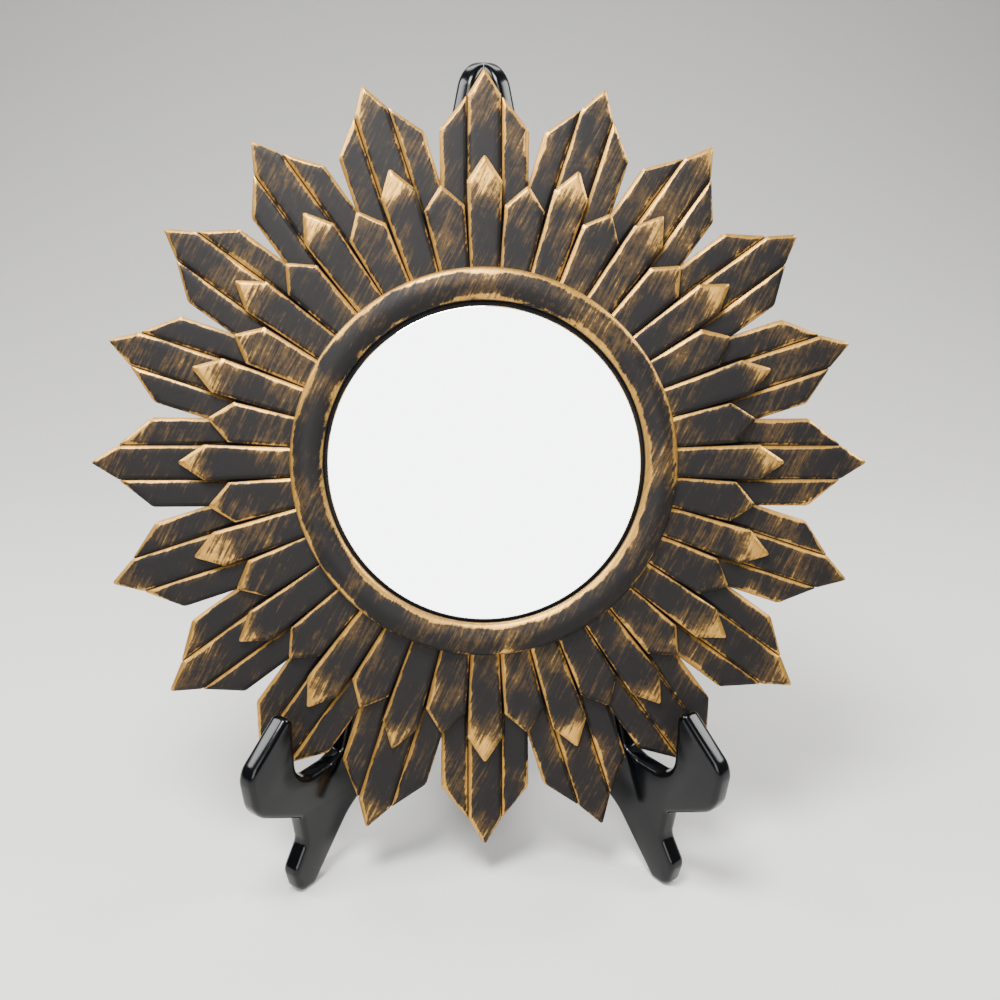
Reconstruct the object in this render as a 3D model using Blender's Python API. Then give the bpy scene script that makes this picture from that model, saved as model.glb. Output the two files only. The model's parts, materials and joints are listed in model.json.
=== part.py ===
"""A round sunburst wall mirror, standing in a two-part plastic easel.

The sunburst frame is one moulding. Twenty petals of three flat bars each make the outer
tier, forty shorter bars make the inner tier on top of it, and a crowned ring holds the
round glass in a pocket. It leans on the posts of the easel and stands in its two cradles.

World axes: +X to the right, +Y to the back, +Z up. The front faces -Y. The origin is on
the floor, in the middle of the object's box. Sizes are in metres.
"""
import math

import bmesh
import bpy
from mathutils import Matrix, Vector

MM = 0.001

# The clearance between two pieces that touch
TOUCH_GAP = 0.3 * MM

# Sunburst frame, outer tier: petals of three bars, measured from the mirror's centre
PETAL_COUNT = 20
TIP_RADIUS = 126.0 * MM
PETAL_THICKNESS = 3.0 * MM
MIDDLE_BAR_WIDTH = 11.2 * MM
MIDDLE_BAR_SHOULDER = 117.4 * MM
SIDE_BAR_WIDTH = 8.9 * MM
SIDE_BAR_TIP = 117.4 * MM
SIDE_BAR_SHOULDER = 106.6 * MM
SLIT_FOOT = 90.2 * MM

# Sunburst frame, inner tier: long bars over the petals, short bars over the slits
INNER_TIER_RISE = 2.8 * MM
LONG_BAR_TIP = 98.1 * MM
LONG_BAR_SHOULDER = 89.6 * MM
LONG_BAR_WIDTH = 11.1 * MM
SHORT_BAR_TIP = 89.4 * MM
SHORT_BAR_SHOULDER = 82.0 * MM
SHORT_BAR_WIDTH = 12.1 * MM
WEB_RADIUS = 79.0 * MM
WEB_RISE = 0.9 * MM

# Every bar has a sloped edge round its top
EDGE_SLOPE_WIDTH = 1.4 * MM
EDGE_SLOPE_DROP = 0.9 * MM
GROOVE_LAP = 0.15 * MM

# Ring and the pocket for the glass
RING_RADIUS = 62.2 * MM
RING_RISE = 6.4 * MM
RING_CROWN = 0.8 * MM
RING_EDGE = 1.7 * MM
RING_LIP = 2.1 * MM
SEGMENTS_PER_PETAL = 4

# Glass disc, set down a little in its pocket, which is wider than it by the play all round
GLASS_RADIUS = 50.6 * MM
GLASS_PLAY = 0.9 * MM
GLASS_THICKNESS = 2.0 * MM
GLASS_SINK = 3.4 * MM
GLASS_DROP = 0.4 * MM
GLASS_EDGE = 0.3 * MM
GLASS_SEGMENTS = 80

# Keyhole pocket in the back of the frame, for a nail or a screw in a wall
KEYHOLE_HEIGHT = 67.0 * MM
KEYHOLE_HEAD_RADIUS = 4.5 * MM
KEYHOLE_SLOT_WIDTH = 4.6 * MM
KEYHOLE_SLOT_LENGTH = 9.0 * MM
KEYHOLE_DEPTH = 3.0 * MM
KEYHOLE_LIP = 1.2 * MM
KEYHOLE_SEGMENTS = 24

# Shapes that get joined or cut start this far outside, each a step further than the last
OVERRUN = 1.0 * MM
OVERRUN_STEP = 0.2 * MM

# Easel: two plates that meet at the back and splay to the front.
# Reach is measured forwards along a plate from the line where the plates meet.
LEAN = math.radians(15.75)
SPLAY = math.radians(35.75)
PLATE_THICKNESS = 6.4 * MM
PLATE_ROUNDING = 1.2 * MM
SPINE_OVERHANG = 1.2 * MM
SPINE_WIDTH = 11.0 * MM
POST_HEIGHT = 258.0 * MM
POST_TOP_DEPTH = 8.9 * MM
POST_WIDTH = 11.0 * MM
POST_END_RADIUS = 11.0 * MM
REAR_FOOT_LENGTH = 14.0 * MM
REAR_FOOT_ROUNDING = 2.0 * MM
ARCH_RISE = 23.0 * MM
ARCH_BACK_SLOPE = 10.0 * MM
ARCH_BACK_ROUNDING = 14.0 * MM
ARCH_FRONT_SLOPE = 22.4 * MM
ARCH_FRONT_ROUNDING = 23.0 * MM
RAIL_HEIGHT = 14.0 * MM
WINDOW_BACK_ROUNDING = 5.0 * MM
WINDOW_FRONT_ROUNDING = 7.0 * MM
WINDOW_TOP_ROUNDING = 3.0 * MM

# Easel: the cradle, a channel between the post and a fat lip that leans out to its nose
CHANNEL_WIDTH = 21.7 * MM
SEAT_HEIGHT = 41.9 * MM
SEAT_ROUNDING = 2.0 * MM
CHANNEL_DEPTH = 1.6 * MM
CHANNEL_BACK_ROUNDING = 4.0 * MM
CHANNEL_FRONT_ROUNDING = 15.0 * MM
LIP_TOP = 65.8 * MM
LIP_THICKNESS = 2.6 * MM
LIP_ROUNDING = 2.0 * MM
NOSE_DEPTH = 19.4 * MM
NOSE_HEIGHT = 52.4 * MM
NOSE_ROUNDING = 7.0 * MM
CHIN_DEPTH = 17.3 * MM
CHIN_HEIGHT = 37.6 * MM
CHIN_ROUNDING = 9.0 * MM

# Easel: the front foot under the lip's back edge
LEG_TOP_DEPTH = -1.1 * MM
LEG_TOP = 27.4 * MM
LEG_TOP_ROUNDING = 1.5 * MM
ANKLE_DEPTH = -2.8 * MM
ANKLE_HEIGHT = 17.2 * MM
ANKLE_ROUNDING = 4.0 * MM
TOE_DEPTH = 3.0 * MM
TOE_HEIGHT = 9.0 * MM
TOE_ROUNDING = 4.0 * MM
SOLE_FRONT_DEPTH = 0.7 * MM
SOLE_FRONT_ROUNDING = 3.8 * MM
SOLE_LENGTH = 6.9 * MM
SOLE_BACK_ROUNDING = 2.5 * MM
ARC_STEP = math.radians(18.0)
SHARED_SIDE = 0.49
WHOLE_SIDE = 0.98

SECTOR = 2.0 * math.pi / PETAL_COUNT
HALF_SECTOR = SECTOR / 2.0
BACK_FACE = -PETAL_THICKNESS
POCKET_RADIUS = GLASS_RADIUS + GLASS_PLAY
POST_SLOPE = math.tan(LEAN) / math.cos(SPLAY)
CRADLE_BACK = POST_TOP_DEPTH + (POST_HEIGHT - SEAT_HEIGHT) * POST_SLOPE
LIP_BACK = CRADLE_BACK + CHANNEL_WIDTH
GLASS_FRONT = RING_RISE + RING_CROWN - GLASS_SINK
POCKET_FLOOR = GLASS_FRONT - GLASS_THICKNESS - TOUCH_GAP


def clear_scene():
    """Removes whatever is in the scene."""
    for item in list(bpy.data.objects):
        bpy.data.objects.remove(item, do_unlink=True)


def make_material(name, colour, roughness, metallic):
    """A plain surface of one colour, roughness and metallic value."""
    material = bpy.data.materials.new(name)
    material.use_nodes = True
    shader = material.node_tree.nodes["Principled BSDF"]
    shader.inputs["Base Color"].default_value = (*colour, 1.0)
    shader.inputs["Roughness"].default_value = roughness
    shader.inputs["Metallic"].default_value = metallic
    return material


def add_object(name, shape, material=None):
    """Puts a finished shape into the scene as an object of its own."""
    mesh = bpy.data.meshes.new(name)
    shape.normal_update()
    shape.to_mesh(mesh)
    shape.free()
    item = bpy.data.objects.new(name, mesh)
    bpy.context.collection.objects.link(item)
    if material is not None:
        mesh.materials.append(material)
    return item


def prism(outline, bottom, top):
    """A straight-sided solid over an outline of (x, y) points, and its top face."""
    shape = bmesh.new()
    corners = [shape.verts.new((x, y, bottom)) for x, y in outline]
    base = shape.faces.new(corners)
    raised = bmesh.ops.extrude_face_region(shape, geom=[base])
    moved = [part for part in raised["geom"] if isinstance(part, bmesh.types.BMVert)]
    bmesh.ops.translate(shape, verts=moved, vec=(0.0, 0.0, top - bottom))
    bmesh.ops.recalc_face_normals(shape, faces=shape.faces)
    shape.normal_update()
    lid = max(shape.faces, key=lambda face: face.calc_center_median().z)
    return shape, lid


def flat_bar(outline, bottom, top):
    """A bar with a flat top whose edge slopes down all round."""
    shape, lid = prism(outline, bottom, top - EDGE_SLOPE_DROP)
    bmesh.ops.inset_individual(
        shape, faces=[lid], thickness=EDGE_SLOPE_WIDTH, depth=EDGE_SLOPE_DROP, use_even_offset=True
    )
    return shape


def pointed_outline(root, root_width, shoulder, shoulder_width, tip):
    """The outline of a bar with a pointed end, along +Y."""
    return [
        (-root_width / 2.0, root),
        (root_width / 2.0, root),
        (shoulder_width / 2.0, shoulder),
        (0.0, tip),
        (-shoulder_width / 2.0, shoulder),
    ]


def side_bar_outline(root):
    """The outline of a petal's side bar, which meets the next petal below the slit."""
    inner = MIDDLE_BAR_WIDTH / 2.0 - GROOVE_LAP
    outer = inner + SIDE_BAR_WIDTH
    foot = SLIT_FOOT * math.tan(HALF_SECTOR)
    beyond = max(outer, foot) + SIDE_BAR_WIDTH
    return [
        (inner, root),
        (beyond, root),
        (beyond, SLIT_FOOT),
        (foot, SLIT_FOOT),
        (outer, SIDE_BAR_SHOULDER),
        (inner, SIDE_BAR_TIP),
    ]


def ring_profile(bottom):
    """The section of the moulding's round middle: (radius, height) points from the axis out and back."""
    top = RING_RISE
    outer_edge = RING_RADIUS - RING_EDGE
    inner_edge = POCKET_RADIUS + RING_LIP
    half_face = (outer_edge - inner_edge) / 2.0
    middle = (outer_edge + inner_edge) / 2.0
    crown = []
    for step in range(-2, 3):
        share = step / 2.0
        crown.append((middle - share * half_face, top + RING_CROWN * (1.0 - share * share)))
    lip = []
    for angle in (30.0, 60.0):
        turn = math.radians(angle)
        lip.append((inner_edge - RING_LIP * math.sin(turn), top - RING_LIP * (1.0 - math.cos(turn))))
    return (
        [(0.0, bottom), (WEB_RADIUS, bottom), (WEB_RADIUS, WEB_RISE), (RING_RADIUS, WEB_RISE)]
        + [(RING_RADIUS, top - RING_EDGE)]
        + crown
        + lip
        + [(POCKET_RADIUS, top - RING_LIP), (POCKET_RADIUS, POCKET_FLOOR), (0.0, POCKET_FLOOR)]
    )


def middle_wedge(bottom):
    """A wedge of the ring, the pocket's floor and the web, wider than half a sector."""
    step = SECTOR / SEGMENTS_PER_PETAL
    first = -step
    count = SEGMENTS_PER_PETAL // 2 + 2
    shape = bmesh.new()
    corners = []
    for radius, height in ring_profile(bottom):
        corners.append(shape.verts.new((radius * math.sin(first), radius * math.cos(first), height)))
    face = shape.faces.new(corners)
    bmesh.ops.spin(
        shape,
        geom=[face] + list(face.edges) + corners,
        cent=(0.0, 0.0, 0.0),
        axis=(0.0, 0.0, -1.0),
        angle=step * count,
        steps=count,
        use_duplicate=False,
    )
    bmesh.ops.remove_doubles(shape, verts=shape.verts, dist=0.001 * MM)
    bmesh.ops.recalc_face_normals(shape, faces=shape.faces)
    return shape


def joined_solid(shapes):
    """The union of several closed shapes, as one new shape."""
    pieces = [add_object("half_sector_part", shape) for shape in shapes]
    whole = pieces[0]
    for piece in pieces[1:]:
        union = whole.modifiers.new("union", "BOOLEAN")
        union.operation = "UNION"
        union.solver = "EXACT"
        union.object = piece
    bpy.context.view_layer.update()
    settled = whole.evaluated_get(bpy.context.evaluated_depsgraph_get())
    result = bmesh.new()
    result.from_mesh(settled.data)
    for piece in pieces:
        bpy.data.objects.remove(piece, do_unlink=True)
    return result


def cut_away(shape, point, normal, fill):
    """Cuts off what lies on the normal's side of a plane, and closes the cut if asked."""
    geometry = list(shape.verts) + list(shape.edges) + list(shape.faces)
    cut = bmesh.ops.bisect_plane(
        shape, geom=geometry, dist=0.001 * MM, plane_co=point, plane_no=normal, clear_outer=True
    )
    if fill:
        rim = [part for part in cut["geom_cut"] if isinstance(part, bmesh.types.BMEdge)]
        bmesh.ops.triangle_fill(shape, edges=rim, use_beauty=True, normal=normal)


def half_sector():
    """Half of one petal's share of the frame, open where it meets its neighbours."""
    root = RING_RADIUS - RING_EDGE - EDGE_SLOPE_WIDTH
    quarter = math.tan(HALF_SECTOR / 2.0)
    root_width = 2.0 * (root * quarter + GROOVE_LAP)
    depths = [BACK_FACE - OVERRUN - index * OVERRUN_STEP for index in range(5)]

    middle_bar = pointed_outline(root, MIDDLE_BAR_WIDTH, MIDDLE_BAR_SHOULDER, MIDDLE_BAR_WIDTH, TIP_RADIUS)
    long_bar = pointed_outline(root, root_width, LONG_BAR_SHOULDER, LONG_BAR_WIDTH, LONG_BAR_TIP)
    short_bar = pointed_outline(root, root_width, SHORT_BAR_SHOULDER, SHORT_BAR_WIDTH, SHORT_BAR_TIP)

    short_shape = flat_bar(short_bar, depths[4], INNER_TIER_RISE)
    turn = Matrix.Rotation(-HALF_SECTOR, 3, "Z")
    bmesh.ops.rotate(short_shape, verts=short_shape.verts, cent=(0.0, 0.0, 0.0), matrix=turn)

    shape = joined_solid([
        middle_wedge(depths[0]),
        flat_bar(middle_bar, depths[1], 0.0),
        flat_bar(side_bar_outline(root), depths[2], 0.0),
        flat_bar(long_bar, depths[3], INNER_TIER_RISE),
        short_shape,
    ])
    cut_away(shape, (0.0, 0.0, BACK_FACE), (0.0, 0.0, -1.0), fill=True)
    cut_away(shape, (0.0, 0.0, 0.0), (-1.0, 0.0, 0.0), fill=False)
    side = (math.cos(HALF_SECTOR), -math.sin(HALF_SECTOR), 0.0)
    cut_away(shape, (0.0, 0.0, 0.0), side, fill=False)
    return shape


def sunburst_shape():
    """The whole frame: half a sector, mirrored and repeated round the centre."""
    shape = half_sector()
    bmesh.ops.mirror(
        shape,
        geom=list(shape.verts) + list(shape.edges) + list(shape.faces),
        matrix=Matrix.Identity(4),
        merge_dist=0.002 * MM,
        axis="X",
    )
    sector = list(shape.verts) + list(shape.edges) + list(shape.faces)
    for index in range(1, PETAL_COUNT):
        copy = bmesh.ops.duplicate(shape, geom=sector)
        verts = [part for part in copy["geom"] if isinstance(part, bmesh.types.BMVert)]
        turn = Matrix.Rotation(index * SECTOR, 3, "Z")
        bmesh.ops.rotate(shape, verts=verts, cent=(0.0, 0.0, 0.0), matrix=turn)
    bmesh.ops.remove_doubles(shape, verts=shape.verts, dist=0.004 * MM)
    bmesh.ops.recalc_face_normals(shape, faces=shape.faces)
    bmesh.ops.dissolve_limit(
        shape, angle_limit=math.radians(0.05), verts=shape.verts, edges=shape.edges, use_dissolve_boundaries=False
    )
    return shape


def add_cutter(target, name, shape):
    """Cuts a shape out of an object, and keeps the cutter out of sight."""
    cutter = add_object(name, shape)
    cutter.hide_render = True
    cutter.display_type = "WIRE"
    cutter.parent = target.parent
    cut = target.modifiers.new(name, "BOOLEAN")
    cut.operation = "DIFFERENCE"
    cut.solver = "EXACT"
    cut.object = cutter
    return cutter


def box_outline(left, right, low, high):
    """The four corners of a rectangle."""
    return [(left, low), (right, low), (right, high), (left, high)]


def cut_keyhole(frame):
    """Sinks the keyhole into the frame's back: a round hole, a slot above it and room for the head."""
    outside = BACK_FACE - OVERRUN
    floor = BACK_FACE + KEYHOLE_DEPTH
    top = KEYHOLE_HEIGHT + KEYHOLE_SLOT_LENGTH
    head = []
    for index in range(KEYHOLE_SEGMENTS):
        turn = 2.0 * math.pi * index / KEYHOLE_SEGMENTS
        head.append((
            KEYHOLE_HEAD_RADIUS * math.cos(turn),
            KEYHOLE_HEIGHT + KEYHOLE_HEAD_RADIUS * math.sin(turn),
        ))
    slot = box_outline(-KEYHOLE_SLOT_WIDTH / 2.0, KEYHOLE_SLOT_WIDTH / 2.0, KEYHOLE_HEIGHT, top)
    room = box_outline(
        -KEYHOLE_HEAD_RADIUS, KEYHOLE_HEAD_RADIUS, KEYHOLE_HEIGHT, top + KEYHOLE_HEAD_RADIUS / 2.0
    )
    add_cutter(frame, "keyhole_head_cutter", prism(head, outside, floor)[0])
    add_cutter(frame, "keyhole_slot_cutter", prism(slot, outside, floor - OVERRUN_STEP)[0])
    room_floor = floor - 2.0 * OVERRUN_STEP
    add_cutter(frame, "keyhole_room_cutter", prism(room, BACK_FACE + KEYHOLE_LIP, room_floor)[0])


def glass_shape():
    """The glass disc with a fine ground edge."""
    shape = bmesh.new()
    bmesh.ops.create_cone(
        shape,
        cap_ends=True,
        segments=GLASS_SEGMENTS,
        radius1=GLASS_RADIUS,
        radius2=GLASS_RADIUS,
        depth=GLASS_THICKNESS,
    )
    rim = [edge for edge in shape.edges if min(vert.co.z for vert in edge.verts) > 0.0]
    bmesh.ops.bevel(shape, geom=rim, offset=GLASS_EDGE, segments=1, affect="EDGES")
    middle = GLASS_FRONT - GLASS_THICKNESS / 2.0
    bmesh.ops.translate(shape, verts=shape.verts, vec=(0.0, -GLASS_DROP, middle))
    return shape


def side_share(other_end):
    """How much of a side a rounding at one end may take up, by whether its other end is rounded too."""
    return SHARED_SIDE if other_end[2] > 0.0 else WHOLE_SIDE


def rounded_outline(corners):
    """Replaces each (x, y, radius) corner of an outline by an arc of that radius."""
    points = []
    count = len(corners)
    for index in range(count):
        before = Vector(corners[index - 1][:2])
        corner = Vector(corners[index][:2])
        after = Vector(corners[(index + 1) % count][:2])
        radius = corners[index][2]
        if radius <= 0.0:
            points.append(tuple(corner))
            continue
        back = (before - corner).normalized()
        ahead = (after - corner).normalized()
        half_angle = back.angle(ahead) / 2.0
        room = min(
            (before - corner).length * side_share(corners[index - 1]),
            (after - corner).length * side_share(corners[(index + 1) % count]),
        )
        reach = min(radius / math.tan(half_angle), room)
        radius = reach * math.tan(half_angle)
        centre = corner + (back + ahead).normalized() * (radius / math.sin(half_angle))
        start = corner + back * reach - centre
        sweep = start.angle_signed(corner + ahead * reach - centre)
        steps = max(1, round(abs(sweep) / ARC_STEP))
        for step in range(steps + 1):
            turned = Matrix.Rotation(-sweep * step / steps, 2) @ start
            points.append(tuple(centre + turned))
    return points


def mirror_back_reach(height):
    """How far forwards along a plate the mirror's back lies at a height, on the plate's middle."""
    return post_front(height) + (PLATE_THICKNESS / 2.0) * math.tan(SPLAY) + TOUCH_GAP / math.cos(SPLAY)


def post_front(height):
    """The post's front edge, which leans back with the mirror."""
    return CRADLE_BACK - (height - SEAT_HEIGHT) * POST_SLOPE


def plate_corners():
    """The outline of one easel plate: (reach, height, rounding), anticlockwise from the rear foot."""
    sole_front = LIP_BACK + SOLE_FRONT_DEPTH
    sole_back = sole_front - SOLE_LENGTH
    channel_floor = SEAT_HEIGHT - CHANNEL_DEPTH
    channel_middle = LIP_BACK - CHANNEL_FRONT_ROUNDING - OVERRUN
    return [
        (-SPINE_OVERHANG, 0.0, 0.0),
        (REAR_FOOT_LENGTH, 0.0, REAR_FOOT_ROUNDING),
        (REAR_FOOT_LENGTH + ARCH_BACK_SLOPE, ARCH_RISE, ARCH_BACK_ROUNDING),
        (sole_back - ARCH_FRONT_SLOPE, ARCH_RISE, ARCH_FRONT_ROUNDING),
        (sole_back, 0.0, SOLE_BACK_ROUNDING),
        (sole_front, 0.0, SOLE_FRONT_ROUNDING),
        (LIP_BACK + TOE_DEPTH, TOE_HEIGHT, TOE_ROUNDING),
        (LIP_BACK + ANKLE_DEPTH, ANKLE_HEIGHT, ANKLE_ROUNDING),
        (LIP_BACK + LEG_TOP_DEPTH, LEG_TOP, LEG_TOP_ROUNDING),
        (LIP_BACK + CHIN_DEPTH, CHIN_HEIGHT, CHIN_ROUNDING),
        (LIP_BACK + NOSE_DEPTH, NOSE_HEIGHT, NOSE_ROUNDING),
        (LIP_BACK + LIP_THICKNESS, LIP_TOP, LIP_ROUNDING),
        (LIP_BACK, LIP_TOP - LIP_THICKNESS, LIP_ROUNDING),
        (LIP_BACK, channel_floor, CHANNEL_FRONT_ROUNDING),
        (channel_middle, channel_floor, CHANNEL_BACK_ROUNDING),
        (CRADLE_BACK, SEAT_HEIGHT, SEAT_ROUNDING),
        (POST_TOP_DEPTH, POST_HEIGHT, POST_END_RADIUS),
        (-SPINE_OVERHANG, POST_HEIGHT, 0.0),
    ]


def window_corners():
    """The opening between the upright spine, the leaning post and the rail over the arch."""
    low = ARCH_RISE + RAIL_HEIGHT
    behind = POST_WIDTH * math.hypot(1.0, POST_SLOPE)
    apex = SEAT_HEIGHT + (CRADLE_BACK - behind - SPINE_WIDTH) / POST_SLOPE
    return [
        (SPINE_WIDTH, low, WINDOW_BACK_ROUNDING),
        (post_front(low) - behind, low, WINDOW_FRONT_ROUNDING),
        (SPINE_WIDTH, apex, WINDOW_TOP_ROUNDING),
    ]


def plate_prism(corners, half_thickness):
    """A flat plate over an outline of (reach, height) points: reach along +X, height along +Z."""
    shape = prism(rounded_outline(corners), -half_thickness, half_thickness)[0]
    upright = Matrix.Rotation(math.pi / 2.0, 3, "X")
    bmesh.ops.rotate(shape, verts=shape.verts, cent=(0.0, 0.0, 0.0), matrix=upright)
    return shape


def add_easel_half(name, side, material):
    """One plate of the easel. side is -1 for the left half and 1 for the right."""
    shape = plate_prism(plate_corners(), PLATE_THICKNESS / 2.0)
    inward = (-math.sin(SPLAY), -side * math.cos(SPLAY), 0.0)
    edge = TOUCH_GAP / 2.0 / math.sin(SPLAY)
    cut_away(shape, (edge, 0.0, 0.0), inward, fill=True)
    bmesh.ops.dissolve_limit(
        shape, angle_limit=math.radians(0.05), verts=shape.verts, edges=shape.edges, use_dissolve_boundaries=False
    )
    half = add_object(name, shape, material)
    cutter = add_cutter(half, name + "_window_cutter", plate_prism(window_corners(), PLATE_THICKNESS))
    rounding = half.modifiers.new("rounding", "BEVEL")
    rounding.width = PLATE_ROUNDING
    rounding.segments = 1
    rounding.limit_method = "ANGLE"
    rounding.angle_limit = math.radians(60.0)
    for item in (half, cutter):
        item.rotation_euler = (0.0, 0.0, -math.pi / 2.0 + side * SPLAY)
    return half, cutter


def petal_low_point(left, right):
    """The lowest point of the petals between two distances from the mirror's upright middle line."""
    edge = MIDDLE_BAR_WIDTH / 2.0
    outer = edge - GROOVE_LAP + SIDE_BAR_WIDTH
    end = [(0.0, TIP_RADIUS), (edge, MIDDLE_BAR_SHOULDER), (outer, SIDE_BAR_SHOULDER)]
    end.append((SLIT_FOOT * math.tan(HALF_SECTOR), SLIT_FOOT))
    lowest = 0.0
    for index in range(PETAL_COUNT):
        for mirrored in (-1.0, 1.0):
            turn = Matrix.Rotation(index * SECTOR, 2)
            line = [turn @ Vector((mirrored * x, y)) for x, y in end]
            for first, second in zip(line, line[1:]):
                for share in range(21):
                    point = first.lerp(second, share / 20.0)
                    if left <= point.x <= right:
                        lowest = min(lowest, point.y)
    return lowest


def mirror_place():
    """Where the mirror's centre lies when it leans on the posts and stands in the cradles."""
    back = mirror_back_reach(SEAT_HEIGHT)
    reach = back + (PETAL_THICKNESS / 2.0) / (math.cos(LEAN) * math.cos(SPLAY))
    across = reach * math.sin(SPLAY)
    half_width = (PLATE_THICKNESS / 2.0) * math.cos(SPLAY)
    low = petal_low_point(across - half_width, across + half_width)
    seat = SEAT_HEIGHT + PETAL_THICKNESS * math.sin(LEAN)
    height = seat - low * math.cos(LEAN)
    back_at_seat = -back * math.cos(SPLAY)
    depth = back_at_seat + (height - PETAL_THICKNESS * math.sin(LEAN) - SEAT_HEIGHT) * math.tan(LEAN)
    return Vector((0.0, depth - PETAL_THICKNESS * math.cos(LEAN), height))


def centre_over_origin(items, carriers):
    """Moves everything so that the middle of the solids' box is over the origin."""
    bpy.context.view_layer.update()
    graph = bpy.context.evaluated_depsgraph_get()
    depths = []
    for item in items:
        settled = item.evaluated_get(graph)
        depths += [(item.matrix_world @ vert.co).y for vert in settled.data.vertices]
    middle = (min(depths) + max(depths)) / 2.0
    for carrier in carriers:
        carrier.location.y -= middle


def build():
    """Builds the mirror and its easel."""
    clear_scene()
    moulding = make_material("black_moulding_brushed_gold", (0.045, 0.036, 0.026), 0.45, 0.0)
    silvering = make_material("silvered_glass", (0.92, 0.93, 0.93), 0.03, 1.0)
    easel_plastic = make_material("black_gloss_plastic", (0.008, 0.009, 0.012), 0.22, 0.0)

    mirror_plane = bpy.data.objects.new("mirror_plane", None)
    bpy.context.collection.objects.link(mirror_plane)
    mirror_plane.rotation_euler = (math.pi / 2.0 - LEAN, 0.0, 0.0)
    mirror_plane.location = mirror_place()

    frame = add_object("sunburst_frame", sunburst_shape(), moulding)
    glass = add_object("mirror_glass", glass_shape(), silvering)
    for item in (frame, glass):
        item.parent = mirror_plane
    cut_keyhole(frame)

    left, left_cutter = add_easel_half("easel_left", -1, easel_plastic)
    right, right_cutter = add_easel_half("easel_right", 1, easel_plastic)
    centre_over_origin(
        [frame, glass, left, right], [mirror_plane, left, left_cutter, right, right_cutter]
    )


build()
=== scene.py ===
"""The looks of the sunburst mirror on its easel: finer meshes, finishes, light and camera.

The frame moulding is modelled in its own plane, with x to the right, y up along the mirror and
z out of its front, and is then leant back as it stands. Sizes are in metres.
"""
import json
import math

import bmesh
import bpy
from mathutils import Matrix, Vector


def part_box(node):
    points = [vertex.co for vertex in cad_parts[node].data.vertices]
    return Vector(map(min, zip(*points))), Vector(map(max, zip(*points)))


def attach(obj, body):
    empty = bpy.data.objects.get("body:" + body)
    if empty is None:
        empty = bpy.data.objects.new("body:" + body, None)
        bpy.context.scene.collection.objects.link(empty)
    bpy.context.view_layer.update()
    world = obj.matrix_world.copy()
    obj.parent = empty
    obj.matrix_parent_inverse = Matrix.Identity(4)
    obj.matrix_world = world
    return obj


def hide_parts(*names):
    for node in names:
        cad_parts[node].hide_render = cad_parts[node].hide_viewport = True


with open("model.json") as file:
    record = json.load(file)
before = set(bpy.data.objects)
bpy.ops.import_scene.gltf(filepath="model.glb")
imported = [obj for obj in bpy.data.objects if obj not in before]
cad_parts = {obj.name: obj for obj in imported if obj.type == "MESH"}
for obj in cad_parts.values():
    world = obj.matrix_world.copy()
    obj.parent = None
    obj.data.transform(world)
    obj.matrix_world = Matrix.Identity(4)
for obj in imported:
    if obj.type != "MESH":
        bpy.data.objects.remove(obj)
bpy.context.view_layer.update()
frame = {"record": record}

MM = 0.001
TINY = 0.01 * MM
# Bisect's own threshold of 0.1 mm would tear a part as fine as this one
CUT_THRESHOLD = 0.001 * MM
MERGE_THRESHOLD = 0.005 * MM
# A face whose normal has at least this z looks up
LOOKS_UP = 0.9

# Sunburst moulding, outer tier, measured from the mirror's centre
PETAL_COUNT = 20
HALF_SECTOR = math.pi / PETAL_COUNT
TIP_RADIUS = 126.5 * MM
PETAL_THICKNESS = 3.0 * MM
MIDDLE_BAR_WIDTH = 11.2 * MM
MIDDLE_BAR_SHOULDER = 117.5 * MM
SIDE_BAR_WIDTH = 8.9 * MM
SIDE_BAR_TIP = 117.8 * MM
SIDE_BAR_SHOULDER = 106.8 * MM
SLIT_FOOT = 90.2 * MM
# Neighbouring bars lap by this much, so that their blanks join
GROOVE_LAP = 0.12 * MM
# Bars start this far inside the ring, and their corners stay sharp for a little way past it
ROOT_OVERLAP = 2.0 * MM
SHARP_ROOT = 5.0 * MM
# Blanks reach behind the back by different lengths, so that no two of their ends coincide
OVERSHOOT = 1.0 * MM
OVERSHOOT_STEP = 0.2 * MM

# Sunburst moulding, inner tier
INNER_TIER_RISE = 2.8 * MM
LONG_BAR_TIP = 98.4 * MM
LONG_BAR_SHOULDER = 89.6 * MM
LONG_BAR_WIDTH = 11.8 * MM
SHORT_BAR_TIP = 89.8 * MM
SHORT_BAR_SHOULDER = 82.0 * MM
SHORT_BAR_WIDTH = 13.4 * MM

# Sloped and rounded edge of every bar
SLOPE_WIDTH = 1.2 * MM
SLOPE_DROP = 0.85 * MM
EDGE_SOFTNESS = 0.28 * MM
EDGE_SEGMENTS = 2
CORNER_ROUNDING = 0.9 * MM
CORNER_SEGMENTS = 4
SHARP_RIM = math.radians(15.0)
MOULDING_SMOOTHING = math.radians(35.0)

# Wear map: the width that a dry brush reaches in from an edge, and a wall that it misses
WORN_WIDTH = 3.0 * MM
RING_LIP_CREST = 51.9 * MM
RING_WEAR_SPREAD = 0.9
WALL_STEEPNESS = 0.3

# Ring and the pocket for the glass: (inset, rise) of each step of its section, from the outer
# wall in
RING_RADIUS = 62.2 * MM
RING_SHOULDER = 4.7 * MM
RING_SECTION = [
    (0.25 * MM, 0.75 * MM),
    (0.5 * MM, 0.55 * MM),
    (0.95 * MM, 0.4 * MM),
    (1.65 * MM, 0.55 * MM),
    (1.7 * MM, 0.22 * MM),
    (1.7 * MM, -0.22 * MM),
    (1.65 * MM, -0.55 * MM),
    (1.05 * MM, -0.35 * MM),
    (0.75 * MM, -0.6 * MM),
    (0.35 * MM, -1.0 * MM),
]
POCKET_FLOOR = 1.5 * MM
POCKET_WALL_INSET = 0.05 * MM
RING_VERTICES = 8 * PETAL_COUNT

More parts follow.
